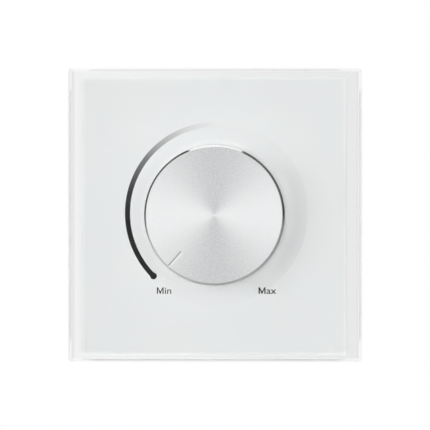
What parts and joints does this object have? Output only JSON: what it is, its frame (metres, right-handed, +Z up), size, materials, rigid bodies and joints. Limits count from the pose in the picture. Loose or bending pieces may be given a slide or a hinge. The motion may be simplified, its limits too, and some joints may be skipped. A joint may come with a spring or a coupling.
{
  "type": "rotary dimmer switch",
  "caption": "Square glass-fronted rotary dimmer with a round turned metal knob, a printed arc scale and a wall-box housing behind a slotted steel plate.",
  "frame": {"origin": "on the spindle's axis, in the wall plane (the rear face of the steel support plate)", "axes": "+X right and +Z up as seen from the room, +Y into the wall along the spindle"},
  "size_m": [0.086, 0.058, 0.086],
  "materials": {
    "glass": "clear, polished",
    "white_film": "white, satin",
    "scale_print": "dark grey print",
    "white_frame": "white, satin moulded",
    "spun_aluminium": "spun face, polished bevel",
    "insert_plastic": "white moulded",
    "spring_steel": "bright spring steel",
    "spindle_metal": "turned",
    "nickel_brass": "nickel plated",
    "zinc_steel": "zinc plated",
    "zinc_screws": "zinc plated",
    "black_plastic": "black moulded",
    "track_board": "brown laminate",
    "tinned_brass": "tinned",
    "natural_plastic": "natural moulded",
    "contact_brass": "sprung brass",
    "grey_housing": "light grey moulded",
    "board_green": "green solder resist",
    "terminal_plastic": "white moulded",
    "core_grey": "coated iron powder",
    "copper_wire": "enamelled copper",
    "capacitor_yellow": "yellow box",
    "fuse_ceramic": "ceramic with metal caps",
    "sink_aluminium": "extruded",
    "varistor_blue": "blue lacquer",
    "can_black": "sleeved can",
    "resistor_tan": "tan lacquer"
  },
  "bodies": {
    "base": {"glass_panel": "glass", "backing_film": "white_film", "scale_band": "scale_print", "front_frame": "white_frame", "spindle_bush": "nickel_brass", "front_nut": "nickel_brass", "front_washer": "nickel_brass", "lock_nut": "nickel_brass", "lock_washer": "spring_steel", "support_plate": "zinc_steel", "housing_screws": "zinc_screws", "pot_case": "black_plastic", "resistance_track": "track_board", "pot_lugs": "tinned_brass", "switch_case": "black_plastic", "contact_pins": "contact_brass", "return_spring": "spring_steel", "rear_housing": "grey_housing", "circuit_board": "board_green", "terminal_block": "terminal_plastic", "terminal_clamps": "tinned_brass", "terminal_screws": "zinc_screws", "choke_core": "core_grey", "choke_winding": "copper_wire", "film_capacitor": "capacitor_yellow", "fuse_link": "fuse_ceramic", "fuse_clips": "tinned_brass", "heat_sink": "sink_aluminium", "triac": "black_plastic", "triac_screw": "zinc_screws", "varistor": "varistor_blue", "small_capacitors": "can_black", "resistors": "resistor_tan"},
    "plunger": {"switch_plunger": "natural_plastic", "contact_ring": "contact_brass"},
    "knob": {"knob_cap": "spun_aluminium", "knob_insert": "insert_plastic", "hub_clip": "spring_steel", "spindle": "spindle_metal", "spindle_circlip": "spring_steel"},
    "rotor": {"pot_rotor": "natural_plastic", "pot_wiper": "contact_brass"}
  },
  "joints": [
    {"name": "knob_press", "type": "slide", "parent": "base", "child": "plunger", "axis": [0, 1, 0], "range_m": [0, 0.0012], "stiffness_N_per_m": 1500, "springref_m": -0.001, "deforming": ["return_spring"]},
    {"name": "knob_turn", "type": "hinge", "parent": "plunger", "child": "knob", "pos_m": [0, 0, 0], "axis": [0, 1, 0], "range_deg": [0, 276]},
    {"name": "rotor_turn", "type": "hinge", "parent": "base", "child": "rotor", "pos_m": [0, 0, 0], "axis": [0, 1, 0], "range_deg": [0, 276]}
  ],
  "couplings": [
    {"joint": "rotor_turn", "follows": "knob_turn", "ratio": 1}
  ]
}
